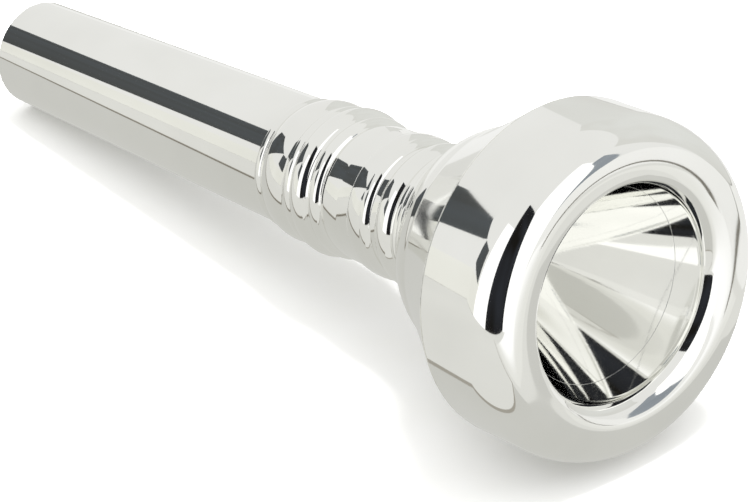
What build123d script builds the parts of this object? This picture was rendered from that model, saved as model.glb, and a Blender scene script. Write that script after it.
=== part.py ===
"""Cornet-size brass mouthpiece, silver plated, in three turned pieces that screw together.

The playing end is a separate rim with the rolled edge that the lips rest on.  The cup carries the
conical bowl, the throat and the front ring turnings.  The stem carries the backbore, the rear ring
turnings and the tapered shank that fits the instrument's receiver.

Every piece is turned from an outline.  A point of an outline is (station, radius): the station is
the distance in millimetres along the axis from the playing face towards the small end.
The finished mouthpiece lies on the plane Z = 0, on the corner of its rim and the edge of its small
end, with the rim towards +X.
"""
from build123d import *
from math import asin, atan2, cos, degrees, hypot, radians, sin, tan
import os

# ---- rim ----
RIM_DIAMETER = 26.6            # outside, where the rolled edge meets the wall
RIM_DEPTH = 8.3                # playing face to the sharp corner behind the wall
RIM_WALL_TAPER = 0.1           # radius lost along the wall
ROLL_WIDTH = 1.9               # rolled outer edge, measured across the radius
ROLL_DEPTH = 3.2               # rolled outer edge, measured along the axis
BITE_DIAMETER = 16.8           # inner edge of the rim
BITE_DEPTH = 1.2               # highest line of the rim down to the bite
BITE_BEVEL = (0.85, 0.55)      # depth and width of the rounded edge just outside the bite
BEVEL_SWELL = 0.05

# ---- cup and throat ----
CUP_ENTRY_RADIUS = 1.3         # curve that leads from the bite into the cone
CUP_HALF_ANGLE = 22.0          # degrees, cone of the cup
THROAT_BLEND_RADIUS = 4.0      # curve that leads from the cone into the throat
THROAT_DIAMETER = 3.8
THROAT_LENGTH = 2.6

# ---- outside of the cup ----
COVE_DEPTH = 0.06               # hollow of the back behind the corner
SHOULDER_START = (6.3, 9.3)    # behind the rim's corner, radius
SHOULDER_END = (8.8, 8.05)
SHOULDER_SWELL = 0.14
NECK_START = (10.6, 6.1)
FLARE_DEPTH = 0.3              # hollow of the flare between shoulder and neck

# ---- ring turnings: width, swell over its chord, radius of the groove behind it ----
FRONT_RINGS = [
    (0.60, 0.10, 6.00),
    (0.70, 0.16, 5.70),
    (0.45, 0.00, 5.50),
    (1.95, 0.42, 5.40),
    (0.65, 0.00, 5.35),
    (0.80, 0.13, 5.73),
    (1.55, 0.08, 5.66),
]
REAR_RINGS = [
    (1.50, -0.02, 5.47),
    (1.70, 0.03, 5.38),
    (0.40, 0.00, 5.20),
    (1.30, 0.38, 5.40),
    (0.25, 0.00, 5.50),
    (1.75, 0.42, 5.62),
    (0.90, 0.18, 5.56),
    (0.20, 0.00, 5.56),
    (2.70, 0.28, 5.35),
    (0.25, 0.00, 5.20),
    (0.75, 0.15, 5.20),
]

# ---- shank and backbore ----
SHANK_LENGTH = 34.9
SHANK_END_DIAMETER = 8.63
SHANK_TAPER = 1 / 20           # change of diameter per length
SHANK_EDGE_RADIUS = 0.2
BACKBORE_START_DIAMETER = 3.9
BACKBORE_END_DIAMETER = 6.7

# ---- threads between the pieces ----
RIM_THREAD_WALL = 3.0          # brass left outside the rim's thread
SEAT_STATION = 3.4             # playing face to the seat of the cup inside the rim
THREAD_RELIEF = 0.3            # plain ring at each end of a thread
STEM_THREAD_DIAMETER = 7.0
THREAD_PITCH = 0.75
THREAD_DEPTH = 0.4
THREAD_CLEARANCE = 0.1         # between the crests of the two threads
SEAT_GAP = 0.02                # at the end face of each male thread

# ---- sizes that follow ----
RIM_RADIUS = RIM_DIAMETER / 2
CREST_RADIUS = RIM_RADIUS - ROLL_WIDTH
CORNER = (RIM_DEPTH, RIM_RADIUS - RIM_WALL_TAPER)
BITE = (BITE_DEPTH, BITE_DIAMETER / 2)
BEVEL = (BITE[0] - BITE_BEVEL[0], BITE[1] + BITE_BEVEL[1])
SLOPE = radians(CUP_HALF_ANGLE)
CONE_START = (
    BITE[0] + CUP_ENTRY_RADIUS * sin(SLOPE),
    BITE[1] - CUP_ENTRY_RADIUS * (1 - cos(SLOPE)),
)
THROAT_RADIUS = THROAT_DIAMETER / 2
CONE_END_RADIUS = THROAT_RADIUS + THROAT_BLEND_RADIUS * (1 - cos(SLOPE))
CONE_END = (CONE_START[0] + (CONE_START[1] - CONE_END_RADIUS) / tan(SLOPE), CONE_END_RADIUS)
THROAT_START = CONE_END[0] + THROAT_BLEND_RADIUS * sin(SLOPE)
SOCKET_FRONT = THROAT_START + THROAT_LENGTH
NECK_STATION = RIM_DEPTH + NECK_START[0]
PARTING = NECK_STATION + sum(width for width, swell, groove in FRONT_RINGS)
SHANK_STATION = PARTING + sum(width for width, swell, groove in REAR_RINGS)
TOTAL_LENGTH = SHANK_STATION + SHANK_LENGTH
SHANK_END_RADIUS = SHANK_END_DIAMETER / 2
SHANK_START_RADIUS = SHANK_END_RADIUS + SHANK_LENGTH * SHANK_TAPER / 2
RIM_SPIGOT_RADIUS = RIM_RADIUS - RIM_THREAD_WALL - THREAD_CLEARANCE
RIM_SOCKET_RADIUS = RIM_SPIGOT_RADIUS + THREAD_CLEARANCE
STEM_SPIGOT_RADIUS = STEM_THREAD_DIAMETER / 2
STEM_SOCKET_RADIUS = STEM_SPIGOT_RADIUS + THREAD_CLEARANCE


def at(point):
    """Turn (station, radius) into a point of the turning plane, whose axis is X."""
    return (-point[0], point[1])


def run(start, *steps):
    """Join start to each step in turn.

    A step is (point, swell).  The swell is how far the curve stands out on the right-hand side of
    the way along it, which is away from the axis on the way to the small end; 0 gives a line.
    """
    edges = []
    here = start
    for point, swell in steps:
        if swell:
            edges.append(SagittaArc(at(here), at(point), -swell))
        else:
            edges.append(Line(at(here), at(point)))
        here = point
    return edges


def rings(start, table):
    """Ring turnings behind start, one step for each row of the table."""
    steps = []
    station = start
    for width, swell, groove in table:
        station += width
        steps.append(((station, groove), swell))
    return steps


def thread(start, end, radius, depth):
    """V grooves between two stations; depth is positive into a bore's wall, negative into a shaft."""
    count = int((abs(end - start) - 2 * THREAD_RELIEF) / THREAD_PITCH)
    way = 1 if end > start else -1
    station = (start + end) / 2 - way * count * THREAD_PITCH / 2
    steps = [((station, radius), 0)]
    for _ in range(count):
        steps.append(((station + way * THREAD_PITCH / 2, radius + depth), 0))
        station += way * THREAD_PITCH
        steps.append(((station, radius), 0))
    steps.append(((end, radius), 0))
    return steps


def cone_radius(station):
    """Radius of the cup's cone at a station."""
    return CONE_START[1] - (station - CONE_START[0]) * tan(SLOPE)


def arc_swell(radius, angle):
    """Height over its chord of an arc that turns through an angle."""
    return radius * (1 - cos(angle / 2))


def turn(edges):
    """Solid of revolution of a closed outline."""
    return revolve(make_face(edges), axis=Axis.X, revolution_arc=360)


def rim():
    """Rolled outer edge, slope to the bite, start of the cup's cone, and the threaded socket."""
    outer = EllipticalCenterArc(
        at((ROLL_DEPTH, CREST_RADIUS)), ROLL_DEPTH, ROLL_WIDTH, start_angle=0, arc_size=90
    )
    slope = atan2(BEVEL[0], CREST_RADIUS - BEVEL[1])
    face_swell = hypot(BEVEL[0], CREST_RADIUS - BEVEL[1]) / 2 * tan(slope / 2)
    inner = run(BITE, (BEVEL, BEVEL_SWELL), ((0, CREST_RADIUS), face_swell))
    edges = run(
        (ROLL_DEPTH, RIM_RADIUS),
        (CORNER, 0),
        ((RIM_DEPTH, RIM_SOCKET_RADIUS), 0),
        *thread(RIM_DEPTH, SEAT_STATION, RIM_SOCKET_RADIUS, THREAD_DEPTH),
        ((SEAT_STATION, cone_radius(SEAT_STATION)), 0),
        (CONE_START, 0),
        (BITE, -arc_swell(CUP_ENTRY_RADIUS, SLOPE)),
    )
    return turn([outer, *edges, *inner])


def cup():
    """Spigot for the rim, cove, shoulder, flare and front rings, socket for the stem, throat, cone."""
    front = SEAT_STATION + SEAT_GAP
    edges = run(
        (front, cone_radius(front)),
        ((front, RIM_SPIGOT_RADIUS), 0),
        *thread(front, RIM_DEPTH, RIM_SPIGOT_RADIUS, -THREAD_DEPTH),
        (CORNER, 0),
        ((RIM_DEPTH + SHOULDER_START[0], SHOULDER_START[1]), -COVE_DEPTH),
        ((RIM_DEPTH + SHOULDER_END[0], SHOULDER_END[1]), SHOULDER_SWELL),
        ((NECK_STATION, NECK_START[1]), -FLARE_DEPTH),
        *rings(NECK_STATION, FRONT_RINGS),
        ((PARTING, STEM_SOCKET_RADIUS), 0),
        *thread(PARTING, SOCKET_FRONT, STEM_SOCKET_RADIUS, THREAD_DEPTH),
        ((SOCKET_FRONT, THROAT_RADIUS), 0),
        ((THROAT_START, THROAT_RADIUS), 0),
        (CONE_END, arc_swell(THROAT_BLEND_RADIUS, SLOPE)),
        ((front, cone_radius(front)), 0),
    )
    return turn(edges)


def stem():
    """Spigot for the cup, barrel, rear rings, tapered shank with a rounded end, and the backbore."""
    front = SOCKET_FRONT + SEAT_GAP
    parting_radius = FRONT_RINGS[-1][2]
    edges = run(
        (front, BACKBORE_START_DIAMETER / 2),
        ((front, STEM_SPIGOT_RADIUS), 0),
        *thread(front, PARTING, STEM_SPIGOT_RADIUS, -THREAD_DEPTH),
        ((PARTING, parting_radius), 0),
        *rings(PARTING, REAR_RINGS),
        ((SHANK_STATION, SHANK_START_RADIUS), 0),
        ((TOTAL_LENGTH - SHANK_EDGE_RADIUS, SHANK_END_RADIUS), 0),
        ((TOTAL_LENGTH, SHANK_END_RADIUS - SHANK_EDGE_RADIUS), arc_swell(SHANK_EDGE_RADIUS, radians(90))),
        ((TOTAL_LENGTH, BACKBORE_END_DIAMETER / 2), 0),
        ((front, BACKBORE_START_DIAMETER / 2), 0),
    )
    return turn(edges)


def resting_tilt():
    """Angle of the axis when the rim's corner and the rounded small end touch the same plane."""
    edge = (TOTAL_LENGTH - SHANK_EDGE_RADIUS, SHANK_END_RADIUS - SHANK_EDGE_RADIUS)
    along = edge[0] - CORNER[0]
    across = CORNER[1] - edge[1]
    return atan2(across, along) - asin(SHANK_EDGE_RADIUS / hypot(along, across))


def lay_down(pieces):
    """Tilt the pieces about Y, stand them on Z = 0 and centre the whole on the origin."""
    tilt = resting_tilt()
    tilted = {node: Rot(0, -degrees(tilt), 0) * solid for node, solid in pieces.items()}
    box = Compound(list(tilted.values())).bounding_box()
    floor = -CORNER[0] * sin(tilt) - CORNER[1] * cos(tilt)
    middle = (box.min.X + box.max.X) / 2
    return {node: Pos(-middle, 0, -floor) * solid for node, solid in tilted.items()}


os.makedirs("parts", exist_ok=True)
for node, solid in lay_down({"rim": rim(), "cup": cup(), "stem": stem()}).items():
    solid.label = node
    export_step(solid, f"parts/{node}.step")
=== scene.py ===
"""Looks of the silver-plated cornet-size mouthpiece: three turned pieces with rounded edges and real
threads, mirror silver plate with fine lathe lines, a white table and a small white light tent.

Every piece is one closed surface of revolution.  Its outline is a list of (station, radius) points
in millimetres: the station runs along the axis from the playing face towards the small end.
"""
import math

import bpy
import numpy as np
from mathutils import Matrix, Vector


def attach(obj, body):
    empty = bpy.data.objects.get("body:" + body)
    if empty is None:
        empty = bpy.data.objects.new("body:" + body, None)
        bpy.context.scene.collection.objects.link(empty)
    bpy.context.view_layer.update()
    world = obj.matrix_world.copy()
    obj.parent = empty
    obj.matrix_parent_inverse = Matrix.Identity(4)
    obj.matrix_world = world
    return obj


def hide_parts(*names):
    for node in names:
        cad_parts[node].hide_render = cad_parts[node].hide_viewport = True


MM = 0.001

# ---- sizes of the mouthpiece, in millimetres ----
RIM_DIAMETER = 26.6
RIM_DEPTH = 8.3
RIM_WALL_TAPER = 0.1
ROLL_WIDTH = 1.9
ROLL_DEPTH = 3.2
BITE_DIAMETER = 16.8
BITE_DEPTH = 1.2
BITE_BEVEL = (0.85, 0.55)
BEVEL_SWELL = 0.05
CUP_ENTRY_RADIUS = 1.3
CUP_HALF_ANGLE = 22.0
THROAT_BLEND_RADIUS = 4.0
THROAT_DIAMETER = 3.8
THROAT_LENGTH = 2.6
COVE_DEPTH = 0.06
SHOULDER_START = (6.3, 9.3)
SHOULDER_END = (8.8, 8.05)
SHOULDER_SWELL = 0.14
NECK_START = (10.6, 6.1)
FLARE_DEPTH = 0.3
FRONT_RINGS = [
    (0.60, 0.10, 6.00),
    (0.70, 0.16, 5.70),
    (0.45, 0.00, 5.50),
    (1.95, 0.42, 5.40),
    (0.65, 0.00, 5.35),
    (0.80, 0.13, 5.73),
    (1.55, 0.08, 5.66),
]
REAR_RINGS = [
    (1.50, -0.02, 5.47),
    (1.70, 0.03, 5.38),
    (0.40, 0.00, 5.20),
    (1.30, 0.38, 5.40),
    (0.25, 0.00, 5.50),
    (1.75, 0.42, 5.62),
    (0.90, 0.18, 5.56),
    (0.20, 0.00, 5.56),
    (2.70, 0.28, 5.35),
    (0.25, 0.00, 5.20),
    (0.75, 0.15, 5.20),
]
SHANK_LENGTH = 34.9
SHANK_END_DIAMETER = 8.63
SHANK_TAPER = 1 / 20
SHANK_EDGE_RADIUS = 0.2
BACKBORE_START_DIAMETER = 3.9
BACKBORE_END_DIAMETER = 6.7
RIM_THREAD_WALL = 3.0
SEAT_STATION = 3.4
THREAD_RELIEF = 0.3
STEM_THREAD_DIAMETER = 7.0
THREAD_PITCH = 0.75
THREAD_DEPTH = 0.4
THREAD_CLEARANCE = 0.1
SEAT_GAP = 0.02

# ---- sizes that follow ----
RIM_RADIUS = RIM_DIAMETER / 2
CREST_RADIUS = RIM_RADIUS - ROLL_WIDTH
CORNER = (RIM_DEPTH, RIM_RADIUS - RIM_WALL_TAPER)
BITE = (BITE_DEPTH, BITE_DIAMETER / 2)
BEVEL = (BITE[0] - BITE_BEVEL[0], BITE[1] + BITE_BEVEL[1])
SLOPE = math.radians(CUP_HALF_ANGLE)
CONE_START = (
    BITE[0] + CUP_ENTRY_RADIUS * math.sin(SLOPE),
    BITE[1] - CUP_ENTRY_RADIUS * (1 - math.cos(SLOPE)),
)
THROAT_RADIUS = THROAT_DIAMETER / 2
CONE_END_RADIUS = THROAT_RADIUS + THROAT_BLEND_RADIUS * (1 - math.cos(SLOPE))
CONE_END = (
    CONE_START[0] + (CONE_START[1] - CONE_END_RADIUS) / math.tan(SLOPE),
    CONE_END_RADIUS,
)
THROAT_START = CONE_END[0] + THROAT_BLEND_RADIUS * math.sin(SLOPE)
SOCKET_FRONT = THROAT_START + THROAT_LENGTH
NECK_STATION = RIM_DEPTH + NECK_START[0]
PARTING = NECK_STATION + sum(row[0] for row in FRONT_RINGS)
PARTING_RADIUS = FRONT_RINGS[-1][2]
SHANK_STATION = PARTING + sum(row[0] for row in REAR_RINGS)
TOTAL_LENGTH = SHANK_STATION + SHANK_LENGTH
SHANK_END_RADIUS = SHANK_END_DIAMETER / 2
SHANK_START_RADIUS = SHANK_END_RADIUS + SHANK_LENGTH * SHANK_TAPER / 2
RIM_SOCKET_RADIUS = RIM_RADIUS - RIM_THREAD_WALL
RIM_SPIGOT_RADIUS = RIM_SOCKET_RADIUS - THREAD_CLEARANCE
STEM_SPIGOT_RADIUS = STEM_THREAD_DIAMETER / 2
STEM_SOCKET_RADIUS = STEM_SPIGOT_RADIUS + THREAD_CLEARANCE

# ---- where the mouthpiece lies: its axis is tilted in the XZ plane ----
EDGE = (TOTAL_LENGTH - SHANK_EDGE_RADIUS, SHANK_END_RADIUS - SHANK_EDGE_RADIUS)
RUN = EDGE[0] - CORNER[0]
DROP = CORNER[1] - EDGE[1]
TILT = math.atan2(DROP, RUN) - math.asin(SHANK_EDGE_RADIUS / math.hypot(RUN, DROP))
AXIS = (math.cos(TILT), 0.0, math.sin(TILT))

# ---- roundings of an outline's corners, in millimetres along each side ----
SHARP_EASE = 0.01
PARTING_EASE = 0.05
THREAD_END_EASE = 0.05
THROAT_EASE = 0.05
GROOVE_EASE = 0.06
LAST_RING_EASE = 0.05
BORE_START_EASE = 0.08
SOCKET_MOUTH_EASE = 0.10
BORE_MOUTH_EASE = 0.12
BITE_EASE = 0.12
SPIGOT_EASE = 0.15
WALL_EASE = 0.16
SHOULDER_EASE = 0.25
BEVEL_EASE = 0.30
LONGEST_EASE = 0.45            # as a share of the stretch that it shortens

# ---- fineness of the surfaces ----
SEGMENTS = 180                 # round the axis; over 195 the cup passes 200,000 triangles
STEP = 0.11                    # longest step along a curved outline, in millimetres
STEP_TURN = 4                  # longest step along a curved outline, in degrees
ROLL_POINTS = 44
EASE_POINTS = 8
POINTS_PER_PITCH = 14
GUARD = 0.035                  # from the ends of a straight run to the points that keep it flat
GUARD_SHARE = 0.3              # the same, at most, as a share of the run
SAME_PLACE = 1e-4              # points closer than this are one point

# ---- form of the threads ----
THREAD_FLAT = 0.12             # flat share of half a pitch, on a crest and in a groove
THREAD_FADE = 0.6              # in pitches: how long a thread takes to reach its full depth

# ---- looks of the silver: sizes in millimetres, haze as a range of roughness ----
DRIFT_SIZE = 9.0
LATHE_LINE_SIZE = 0.16
LATHE_LINE_HEIGHT = 0.01
LATHE_LINE_STRENGTH = 0.02
HAZE = (0.030, 0.050)
LATHE_LINE_HAZE = (0.000, 0.018)

# ---- studio, in millimetres unless said otherwise ----
TABLE_REACH = 2500
PAPER_GRAIN = 6.0
GLOW_DRIFT = 60.0
SIDE_GLOW = 1.1                # strength
SHEET_LAYER = 0.01             # the sheets lie in numbered layers just over the table
SHEET_X = (-330, 150)
SHEET_NEAR_X = (-110, 12)
SHEET_RIM_X = (12, 56)
TENT_BACK_X = (-95, 105)
TENT_BACK_Y = 90
FRONT_CARD = [(-55, -89, 38), (-15, -89, 27), (-20, -89, 62), (-53, -89, 68)]
SIDE_CARD = [
    (-327.5, -20.9, 94.4), (-267.3, -110.7, 184.6), (-49.7, -83.6, 66.2), (-109.9, 6.1, -24.0),
]

# ---- camera, in millimetres unless said otherwise ----
LENS = 240.0
SENSOR = 36.0
LENS_SHIFT = (0.0010, -0.0022)  # as shares of the sensor's width
CLIP = (10, 10000)
CAMERA_PLACE = (256.82, -215.13, 209.24)
CAMERA_AIM = (-0.64494, 0.55423, -0.52621)  # direction


# ---- outlines ----
def line(start, end):
    """Straight run with a second point close to each end, so that shading stays flat between."""
    a = np.array(start, float)
    b = np.array(end, float)
    length = float(np.hypot(*(b - a)))
    near = min(GUARD / length, GUARD_SHARE)
    return np.array([a, a + (b - a) * near, b + (a - b) * near, b])


def arc(start, end, swell):
    """Arc between two points; swell is its height over the chord, positive away from the axis."""
    if abs(swell) < 1e-6:
        return line(start, end)
    a = np.array(start, float)
    b = np.array(end, float)
    chord = float(np.hypot(*(b - a)))
    along = (b - a) / chord
    outward = np.array([-along[1], along[0]]) * (1.0 if b[0] > a[0] else -1.0)
    height = abs(swell)
    radius = (chord * chord / 4 + height * height) / (2 * height)
    centre = (a + b) / 2 - outward * math.copysign(radius - height, swell)
    first = math.atan2(*(a - centre)[::-1])
    turn = (math.atan2(*(b - centre)[::-1]) - first + math.pi) % (2 * math.pi) - math.pi
    count = max(6, int(abs(turn) * radius / STEP), int(abs(turn) / math.radians(STEP_TURN)))
    angles = first + turn * np.linspace(0, 1, count + 1)
    return centre + radius * np.stack([np.cos(angles), np.sin(angles)], 1)


def quarter(centre, depth, width, first, last):
    """Part of an ellipse: centre + (depth cos a, width sin a) for a from first to last, in degrees."""
    a = np.radians(np.linspace(first, last, ROLL_POINTS))
    return np.stack([centre[0] + depth * np.cos(a), centre[1] + width * np.sin(a)], 1)


def joined(*parts):
    """Closed outline of (points, rounding) parts; rounding eases the corner at the part's end."""
    count = len(parts)
    cut = []
    for k in range(count):
        points = trimmed(parts[k][0], parts[k][1])
        points = trimmed(points[::-1], parts[k - 1][1])[::-1]
        cut.append(points)
    outline = []
    for k in range(count):
        outline.extend(cut[k])
        if parts[k][1] > 0:
            corner = parts[k][0][-1]
            a, b = cut[k][-1], cut[(k + 1) % count][0]
            for u in np.linspace(0, 1, EASE_POINTS)[1:-1]:
                outline.append((1 - u) ** 2 * a + 2 * u * (1 - u) * corner + u * u * b)
    kept = [outline[0]]
    for p in outline[1:]:
        if np.hypot(*(p - kept[-1])) > SAME_PLACE:
            kept.append(p)
    if np.hypot(*(kept[0] - kept[-1])) < SAME_PLACE:
        kept.pop()
    return np.array(kept)


def trimmed(points, amount):
    """The points without the last stretch of the given length."""
    if amount <= 0:
        return points
    steps = np.hypot(*np.diff(points, axis=0).T)
    along = np.concatenate([[0], np.cumsum(steps)])
    end = along[-1] - min(amount, along[-1] * LONGEST_EASE)
    kept = points[along < end - 1e-6]
    last = [np.interp(end, along, points[:, 0]), np.interp(end, along, points[:, 1])]
    return np.vstack([kept, last])


def ring_parts(start, radius, table):
    """Ring turnings as outline parts; straight rows are narrow fillets between the beads."""
    parts = []
    here = (start, radius)
    for k, (width, swell, groove) in enumerate(table):
        there = (here[0] + width, groove)
        ease = LAST_RING_EASE if k == len(table) - 1 else GROOVE_EASE
        parts.append((arc(here, there, swell), ease))
        here = there
    return parts


def threaded(start, end, radius):
    """Plain run with points close enough together to carry the thread."""
    count = int(abs(end - start) / THREAD_PITCH * POINTS_PER_PITCH)
    stations = np.linspace(start, end, count)
    return np.stack([stations, np.full(count, float(radius))], 1)


def rim_outline():
    """Rolled edge, wall, back face, threaded socket, start of the cone, bite and inner slope."""
    seat = (SEAT_STATION, cone_radius(SEAT_STATION))
    rise = CREST_RADIUS - BEVEL[1]
    face_swell = math.hypot(BEVEL[0], rise) / 2 * math.tan(math.atan2(BEVEL[0], rise) / 2)
    return joined(
        (quarter((ROLL_DEPTH, CREST_RADIUS), ROLL_DEPTH, ROLL_WIDTH, 180, 90), 0),
        (line((ROLL_DEPTH, RIM_RADIUS), CORNER), WALL_EASE),
        (line(CORNER, (RIM_DEPTH, RIM_SOCKET_RADIUS)), SOCKET_MOUTH_EASE),
        (threaded(RIM_DEPTH, SEAT_STATION, RIM_SOCKET_RADIUS), THREAD_END_EASE),
        (line((SEAT_STATION, RIM_SOCKET_RADIUS), seat), SHARP_EASE),
        (line(seat, CONE_START), 0),
        (arc(CONE_START, BITE, cup_entry_swell()), BITE_EASE),
        (arc(BITE, BEVEL, -BEVEL_SWELL), BEVEL_EASE),
        (arc(BEVEL, (0, CREST_RADIUS), -face_swell), 0),
    )


def cone_radius(station):
    """Radius of the cup's cone at a station."""
    return CONE_START[1] - (station - CONE_START[0]) * math.tan(SLOPE)


def cup_entry_swell():
    """Height over its chord of the curve between the bite and the cone; it hollows the metal."""
    return CUP_ENTRY_RADIUS * (1 - math.cos(SLOPE / 2))


def cup_outline():
    """Spigot, cove, shoulder, flare, front rings, socket, throat and the cone of the cup."""
    front = SEAT_STATION + SEAT_GAP
    front_point = (front, cone_radius(front))
    shoulder = (RIM_DEPTH + SHOULDER_START[0], SHOULDER_START[1])
    shoulder_end = (RIM_DEPTH + SHOULDER_END[0], SHOULDER_END[1])
    neck = (NECK_STATION, NECK_START[1])
    blend = THROAT_BLEND_RADIUS * (1 - math.cos(SLOPE / 2))
    return joined(
        (line(front_point, (front, RIM_SPIGOT_RADIUS)), SPIGOT_EASE),
        (threaded(front, RIM_DEPTH, RIM_SPIGOT_RADIUS), THREAD_END_EASE),
        (line((RIM_DEPTH, RIM_SPIGOT_RADIUS), CORNER), PARTING_EASE),
        (arc(CORNER, shoulder, -COVE_DEPTH), SHOULDER_EASE),
        (arc(shoulder, shoulder_end, SHOULDER_SWELL), SHOULDER_EASE),
        (arc(shoulder_end, neck, -FLARE_DEPTH), GROOVE_EASE),
        *ring_parts(NECK_STATION, NECK_START[1], FRONT_RINGS),
        (line((PARTING, PARTING_RADIUS), (PARTING, STEM_SOCKET_RADIUS)), SOCKET_MOUTH_EASE),
        (threaded(PARTING, SOCKET_FRONT, STEM_SOCKET_RADIUS), THREAD_END_EASE),
        (line((SOCKET_FRONT, STEM_SOCKET_RADIUS), (SOCKET_FRONT, THROAT_RADIUS)), THROAT_EASE),
        (line((SOCKET_FRONT, THROAT_RADIUS), (THROAT_START, THROAT_RADIUS)), 0),
        (arc((THROAT_START, THROAT_RADIUS), CONE_END, -blend), 0),
        (line(CONE_END, front_point), SHARP_EASE),
    )


def stem_outline():
    """Spigot, barrel, rear rings, tapered shank with a rounded end, and the widening backbore."""
    front = SOCKET_FRONT + SEAT_GAP
    bore = BACKBORE_START_DIAMETER / 2
    edge_swell = SHANK_EDGE_RADIUS * (1 - math.cos(math.radians(45)))
    shank_start = (SHANK_STATION, SHANK_START_RADIUS)
    shank_end = (TOTAL_LENGTH - SHANK_EDGE_RADIUS, SHANK_END_RADIUS)
    face_edge = (TOTAL_LENGTH, SHANK_END_RADIUS - SHANK_EDGE_RADIUS)
    face_bore = (TOTAL_LENGTH, BACKBORE_END_DIAMETER / 2)
    return joined(
        (line((front, bore), (front, STEM_SPIGOT_RADIUS)), SPIGOT_EASE),
        (threaded(front, PARTING, STEM_SPIGOT_RADIUS), THREAD_END_EASE),
        (line((PARTING, STEM_SPIGOT_RADIUS), (PARTING, PARTING_RADIUS)), PARTING_EASE),
        *ring_parts(PARTING, PARTING_RADIUS, REAR_RINGS),
        (line((SHANK_STATION, REAR_RINGS[-1][2]), shank_start), SHARP_EASE),
        (line(shank_start, shank_end), 0),
        (arc(shank_end, face_edge, edge_swell), 0),
        (line(face_edge, face_bore), BORE_MOUTH_EASE),
        (line(face_bore, (front, bore)), BORE_START_EASE),
    )


# ---- surfaces ----
def face_centre(*outlines):
    """Place of the playing face's centre: the whole lies on Z = 0 with its middle at X = 0."""
    to_ends = np.array([[-AXIS[0], -AXIS[0]], [AXIS[2], -AXIS[2]]])
    reach = np.vstack(outlines) @ to_ends
    height = CORNER[0] * AXIS[2] + CORNER[1] * AXIS[0]
    return np.array([-(reach.max() + reach.min()) / 2, 0.0, height])


def helix_cut(station, radius, angle, span, thread_radius, depth):
    """Change of radius of a right-hand thread.

    cut = depth * V(station / pitch + angle / turn) * fade, where V is a wave that is 0 on a crest
    and 1 in a groove, and fade is 0 within one relief of both ends of the span.
    """
    low, high = sorted(span)
    phase = station / THREAD_PITCH + angle / (2 * math.pi)
    wave = 1 - np.abs(2 * (phase - np.floor(phase)) - 1)
    wave = np.clip((wave - THREAD_FLAT) / (1 - 2 * THREAD_FLAT), 0, 1)
    room = np.minimum(station - low, high - station) - THREAD_RELIEF
    fade = np.clip(room / (THREAD_PITCH * THREAD_FADE), 0, 1)
    on_wall = np.abs(radius - thread_radius) < 1e-6
    return np.where(on_wall, depth * wave * fade, 0.0)


def lathe(name, face, outline, threads):
    """Closed surface of revolution.

    P(u, a) = F - s(u) A + r(u, a) (cos a U + sin a V), with F the centre of the playing face, A the
    axis, U and V across it, (s, r) the outline and a the angle; r also carries the threads.
    """
    axis = np.array(AXIS)
    up = np.array([-AXIS[2], 0.0, AXIS[0]])
    side = np.cross(axis, up)
    angle = np.linspace(0, 2 * math.pi, SEGMENTS, endpoint=False)[None, :]
    station = outline[:, 0][:, None] + 0 * angle
    radius = outline[:, 1][:, None] + 0 * angle
    cut = np.zeros_like(radius)
    for span, thread_radius, depth in threads:
        cut += helix_cut(station, radius, angle, span, thread_radius, depth)
    radius = radius + cut
    ring = np.cos(angle)[..., None] * up + np.sin(angle)[..., None] * side
    points = face - station[..., None] * axis + radius[..., None] * ring
    return grid_mesh(name, points * MM)


def grid_mesh(name, points):
    """Mesh of a grid of points that closes both ways, with its faces turned outward."""
    rows, columns = points.shape[:2]
    index = np.arange(rows * columns).reshape(rows, columns)
    below = np.roll(index, -1, 0)
    faces = np.stack([index, below, np.roll(below, -1, 1), np.roll(index, -1, 1)], -1)
    faces = faces.reshape(-1, 4)
    flat = points.reshape(-1, 3)
    a, b, c, d = (flat[faces[:, k]] for k in range(4))
    volume = np.einsum("ij,ij->i", a, np.cross(b, c) + np.cross(c, d)).sum()
    if volume < 0:
        faces = faces[:, ::-1]
    return mesh_object(name, flat, faces)


def mesh_object(name, points, faces):
    """Object at the origin from points in metres and faces of four corners."""
    mesh = bpy.data.meshes.new(name)
    mesh.vertices.add(len(points))
    mesh.vertices.foreach_set("co", np.ascontiguousarray(points, np.float32).ravel())
    mesh.loops.add(faces.size)
    mesh.loops.foreach_set("vertex_index", np.ascontiguousarray(faces, np.int32).ravel())
    mesh.polygons.add(len(faces))
    mesh.polygons.foreach_set("loop_start", np.arange(0, faces.size, 4, dtype=np.int32))
    mesh.update(calc_edges=True)
    mesh.validate()
    mesh.shade_smooth()
    made = bpy.data.objects.new(name, mesh)
    bpy.context.scene.collection.objects.link(made)
    return made


# ---- materials ----
def colour(text):
    """sRGB hex to a linear colour with alpha."""
    parts = [int(text[k:k + 2], 16) / 255 for k in (1, 3, 5)]
    return [v / 12.92 if v <= 0.04045 else ((v + 0.055) / 1.055) ** 2.4 for v in parts] + [1.0]


def feed(tree, node, inputs):
    """Set a node's inputs; each is a value or the socket that feeds it."""
    for key, value in inputs.items():
        if isinstance(value, bpy.types.NodeSocket):
            tree.links.new(value, node.inputs[key])
        else:
            node.inputs[key].default_value = value


def add(tree, kind, inputs=None, **settings):
    """New node with settings and inputs."""
    made = tree.nodes.new(kind)
    for key, value in settings.items():
        setattr(made, key, value)
    feed(tree, made, inputs or {})
    return made


def ramp(tree, factor, *stops):
    """Colour ramp with (position, hex) stops."""
    made = add(tree, "ShaderNodeValToRGB", {"Fac": factor})
    elements = made.color_ramp.elements
    while len(elements) < len(stops):
        elements.new(0.5)
    for element, (position, text) in zip(elements, stops):
        element.position = position
        element.color = colour(text)
    return made.outputs["Color"]


def spread(tree, value, low, high):
    """Map 0..1 to low..high."""
    made = add(tree, "ShaderNodeMapRange", {"Value": value, "To Min": low, "To Max": high})
    return made.outputs["Result"]


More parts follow.
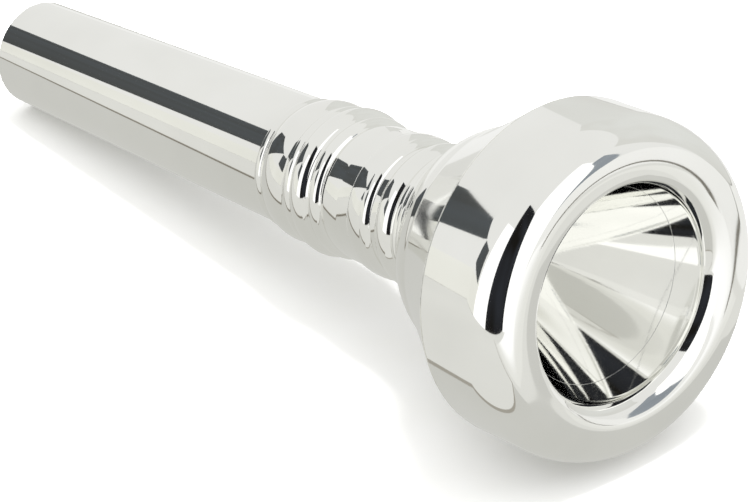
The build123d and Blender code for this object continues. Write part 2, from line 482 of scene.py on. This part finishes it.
def new_material(name, kind):
    """Node material with one shader of a kind, its node tree, the shader and the object's place."""
    material = bpy.data.materials.new(name)
    material.use_nodes = True
    tree = material.node_tree
    tree.nodes.clear()
    shader = add(tree, kind)
    add(tree, "ShaderNodeOutputMaterial", {"Surface": shader.outputs[0]})
    place = add(tree, "ShaderNodeTexCoord").outputs["Object"]
    return material, tree, shader, place


def noise(tree, place, size, detail):
    """Noise of 0..1 with features of a size in millimetres."""
    made = add(
        tree, "ShaderNodeTexNoise", {"Vector": place, "Scale": 1 / (size * MM), "Detail": detail}
    )
    return made.outputs["Fac"]


def silver_plate():
    """Mirror silver plate: soft tone drift, polish haze and hair-fine lines round the axis."""
    material, tree, shader, place = new_material("silver_plate", "ShaderNodeBsdfPrincipled")
    station = add(
        tree, "ShaderNodeVectorMath", {0: place, 1: AXIS}, operation="DOT_PRODUCT"
    ).outputs["Value"]
    drift = noise(tree, place, DRIFT_SIZE, 3.0)
    lines = add(
        tree, "ShaderNodeTexNoise",
        {"W": station, "Scale": 1 / (LATHE_LINE_SIZE * MM), "Detail": 2.0},
        noise_dimensions="1D",
    ).outputs["Fac"]
    haze = spread(tree, drift, *HAZE)
    fine = spread(tree, lines, *LATHE_LINE_HAZE)
    both = add(tree, "ShaderNodeMath", {0: haze, 1: fine}, operation="ADD").outputs["Value"]
    relief = {"Strength": LATHE_LINE_STRENGTH, "Distance": LATHE_LINE_HEIGHT * MM, "Height": lines}
    feed(tree, shader, {
        "Base Color": ramp(tree, drift, (0.30, "#F3F3F0"), (0.55, "#F7F7F4"), (0.80, "#FAFAF8")),
        "Metallic": 1.0,
        "Roughness": both,
        "Normal": add(tree, "ShaderNodeBump", relief).outputs["Normal"],
    })
    return material


def matt(name, text, second):
    """Matt paper with a very faint drift between two tones."""
    material, tree, shader, place = new_material(name, "ShaderNodeBsdfPrincipled")
    grain = noise(tree, place, PAPER_GRAIN, 4.0)
    feed(tree, shader, {
        "Base Color": ramp(tree, grain, (0.3, text), (0.7, second)),
        "Roughness": 0.9,
        "Specular IOR Level": 0.0,
    })
    return material


def glowing(name, text, level, second=None):
    """Lit panel: an even glow that drifts softly between two tones."""
    material, tree, shader, place = new_material(name, "ShaderNodeEmission")
    drift = noise(tree, place, GLOW_DRIFT, 1.0)
    tone = ramp(tree, drift, (0.35, text), (0.65, second or text))
    feed(tree, shader, {"Color": tone, "Strength": level})
    return material


def fading(name, low, high, text, level, second):
    """Lit panel that fades from one tone to another between two distances along X, in mm."""
    material, tree, shader, place = new_material(name, "ShaderNodeEmission")
    x = add(tree, "ShaderNodeSeparateXYZ", {"Vector": place}).outputs["X"]
    part = add(
        tree, "ShaderNodeMapRange", {"Value": x, "From Min": low * MM, "From Max": high * MM},
        interpolation_type="SMOOTHSTEP",
    ).outputs["Result"]
    tone = ramp(tree, part, (0.0, text), (1.0, second))
    feed(tree, shader, {"Color": tone, "Strength": level})
    return material


# ---- studio ----
def panel(name, corners, material):
    """Flat studio panel through four corners, in millimetres; only gloss sees it."""
    points = np.array(corners, float) * MM
    made = mesh_object(name, points, np.array([[0, 1, 2, 3]]))
    made.data.materials.append(material)
    made.visible_camera = False
    made.visible_diffuse = False
    made.visible_shadow = False
    return made


def upright(name, a, b, low, high, material):
    """Upright panel over the floor line from a to b, between two heights."""
    return panel(name, [(*a, low), (*b, low), (*b, high), (*a, high)], material)


def sheet(name, x, y, layer, material):
    """Level panel over the ranges x and y, in a numbered layer over the table."""
    z = layer * SHEET_LAYER
    return panel(
        name, [(x[0], y[0], z), (x[1], y[0], z), (x[1], y[1], z), (x[0], y[1], z)], material
    )


def build_tent():
    """Small light tent round the table: lit walls, the dark opening for the lens, grey cards, and
    glowing sheets on the table, darker near the mouthpiece where they carry its painted shadow.
    """
    white = glowing("tent_light", "#FFFFFF", 1.25)
    ivory = glowing("tent_ivory", "#EBEBE4", 1.0, "#F2F2EC")
    grey = glowing("tent_grey", "#DCDCD8", 1.0, "#E2E3E0")
    charcoal = glowing("card_charcoal", "#4B4D4D", 1.0, "#525659")
    dark = glowing("opening_dark", "#1B1A18", 1.0, "#2C2E33")
    # dark glow for thin lines; along the feet of the tent's walls it is painted shade
    dark_line_and_shade = glowing("seam_dark", "#6E6A60", 1.0)
    bluish = glowing("card_bluish", "#8C939B", 1.0, "#A2A8AE")
    edge = glowing("sheet_edge", "#A5A198", 1.0)
    bright_side = fading("sheet_right", 62, 80, "#E2E2DE", SIDE_GLOW, "#FFFFFF")
    # painted shadow: this darker glow stands in for the mouthpiece's own shadow on the table, seen
    # only in its reflections
    near = glowing("sheet_painted_shadow", "#CFCFCB", 1.0, "#CBCBC6")
    far = glowing("sheet_far", "#E4E4E0", 1.0, "#E0E0DC")
    back = glowing("sheet_back", "#F6F6F4", 1.0, "#F4F4F2")

    sheet("studio_sheet_far", SHEET_X, (-90, 30), 3, far)
    sheet("studio_sheet_back", SHEET_X, (30, 88), 3, back)
    sheet("studio_sheet_right", (60, 150), (-60, 28), 4, bright_side)
    sheet("studio_sheet_corner", (70, 150), (28, 88), 4, back)
    sheet("studio_sheet_corner_line", (68.8, 70.6), (26, 88), 5, dark_line_and_shade)
    # painted shadow under the shank and barrel
    sheet("studio_sheet_near", SHEET_NEAR_X, (-18.7, 22), 5, near)
    sheet("studio_sheet_line", SHEET_NEAR_X, (-20.6, -18.2), 6, edge)
    sheet("studio_sheet_line_core", SHEET_NEAR_X, (-19.6, -18.8), 7, dark_line_and_shade)
    # painted shadow under the rim
    sheet("studio_sheet_rim", SHEET_RIM_X, (-16.4, 22), 5, near)
    sheet("studio_sheet_rim_line", SHEET_RIM_X, (-17.3, -16.4), 6, edge)
    sheet("studio_sheet_rim_edge", (55.7, 56.4), (-70, -16.2), 6, edge)

    upright("studio_front_ivory", (-330, -90), (-10, -90), -30, 30, ivory)
    upright("studio_front_light", (-12, -90.5), (30, -90.5), -25, 113, white)
    upright("studio_front_opening", (30, -90), (125, -88), -12, 195, dark)
    # painted shade along the foot of the front walls
    upright("studio_front_seam", (-330, -89.5), (30, -89.5), -1.6, 0.2, dark_line_and_shade)
    upright("studio_right_light", (120, -84), (120, 48), -30, 193, white)
    upright("studio_right_bluish", (118, 44), (112, 58), -22, 95, bluish)
    left, right = TENT_BACK_X
    upright("studio_back_grey", (left, TENT_BACK_Y), (right, TENT_BACK_Y), -4, 132, grey)
    # painted shade along the foot of the back wall
    upright("studio_back_seam", (left, TENT_BACK_Y - 1), (right, TENT_BACK_Y - 1), -6, 0.4, dark_line_and_shade)
    panel("studio_front_card", FRONT_CARD, charcoal)
    panel("studio_side_card", SIDE_CARD, charcoal)


def build_table():
    """White table that the camera sees, and the dome and lamps that light it."""
    reach = TABLE_REACH * MM
    corners = [(-reach, -reach, 0), (reach, -reach, 0), (reach, reach, 0), (-reach, reach, 0)]
    table = mesh_object("studio_table", np.array(corners), np.array([[0, 1, 2, 3]]))
    table.data.materials.append(matt("table_white", "#F8F8F7", "#FAFAFA"))
    table.visible_glossy = False

    world = bpy.data.worlds.new("studio_dome")
    bpy.context.scene.world = world
    world.use_nodes = True
    tree = world.node_tree
    tree.nodes.clear()
    glow = add(tree, "ShaderNodeBackground", {"Color": colour("#EDEDEB"), "Strength": 1.0})
    output = add(tree, "ShaderNodeOutputWorld")
    tree.links.new(glow.outputs["Background"], output.inputs["Surface"])

    lamp("studio_key", 200, 4.7, (0, 120, 610))
    lamp("studio_ceiling", 2000, 12.0, (0, 0, 800))


def lamp(name, size, watts, place):
    """Square lamp that points at the origin and lights the table; gloss does not see it."""
    light = bpy.data.lights.new(name, "AREA")
    light.shape = "SQUARE"
    light.size = size * MM
    light.energy = watts
    made = bpy.data.objects.new(name, light)
    made.location = Vector(place) * MM
    made.rotation_mode = "QUATERNION"
    made.rotation_quaternion = (-made.location).to_track_quat("-Z", "Y")
    made.visible_glossy = False
    bpy.context.scene.collection.objects.link(made)


def build_camera():
    """Long lens, looking down along the mouthpiece from the rim's side."""
    lens = bpy.data.cameras.new("studio_camera")
    lens.lens = LENS
    lens.sensor_width = SENSOR
    lens.shift_x, lens.shift_y = LENS_SHIFT
    lens.clip_start, lens.clip_end = (distance * MM for distance in CLIP)
    camera = bpy.data.objects.new("studio_camera", lens)
    camera.location = Vector(CAMERA_PLACE) * MM
    camera.rotation_mode = "QUATERNION"
    camera.rotation_quaternion = Vector(CAMERA_AIM).to_track_quat("-Z", "Y")
    bpy.context.scene.collection.objects.link(camera)
    bpy.context.scene.camera = camera


# ---- build ----
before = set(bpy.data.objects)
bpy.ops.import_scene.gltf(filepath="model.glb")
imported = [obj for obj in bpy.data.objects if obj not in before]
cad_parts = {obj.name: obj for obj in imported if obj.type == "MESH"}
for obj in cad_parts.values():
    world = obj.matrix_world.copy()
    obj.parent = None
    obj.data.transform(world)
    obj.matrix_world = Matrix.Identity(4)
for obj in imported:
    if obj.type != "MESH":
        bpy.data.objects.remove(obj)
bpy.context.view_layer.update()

silver = silver_plate()
face = face_centre(rim_outline(), stem_outline())
rim_span = (SEAT_STATION, RIM_DEPTH)
stem_span = (SOCKET_FRONT, PARTING)
rim = lathe("playing_rim", face, rim_outline(), [(rim_span, RIM_SOCKET_RADIUS, THREAD_DEPTH)])
cup = lathe(
    "cup_body",
    face,
    cup_outline(),
    [(rim_span, RIM_SPIGOT_RADIUS, -THREAD_DEPTH), (stem_span, STEM_SOCKET_RADIUS, THREAD_DEPTH)],
)
stem = lathe(
    "stem_and_shank", face, stem_outline(), [(stem_span, STEM_SPIGOT_RADIUS, -THREAD_DEPTH)]
)
for piece, body in ((rim, "rim"), (cup, "cup"), (stem, "stem")):
    piece.data.materials.append(silver)
    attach(piece, body)
    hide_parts(body)

build_table()
build_tent()
build_camera()
bpy.context.scene.view_settings.view_transform = "Standard"
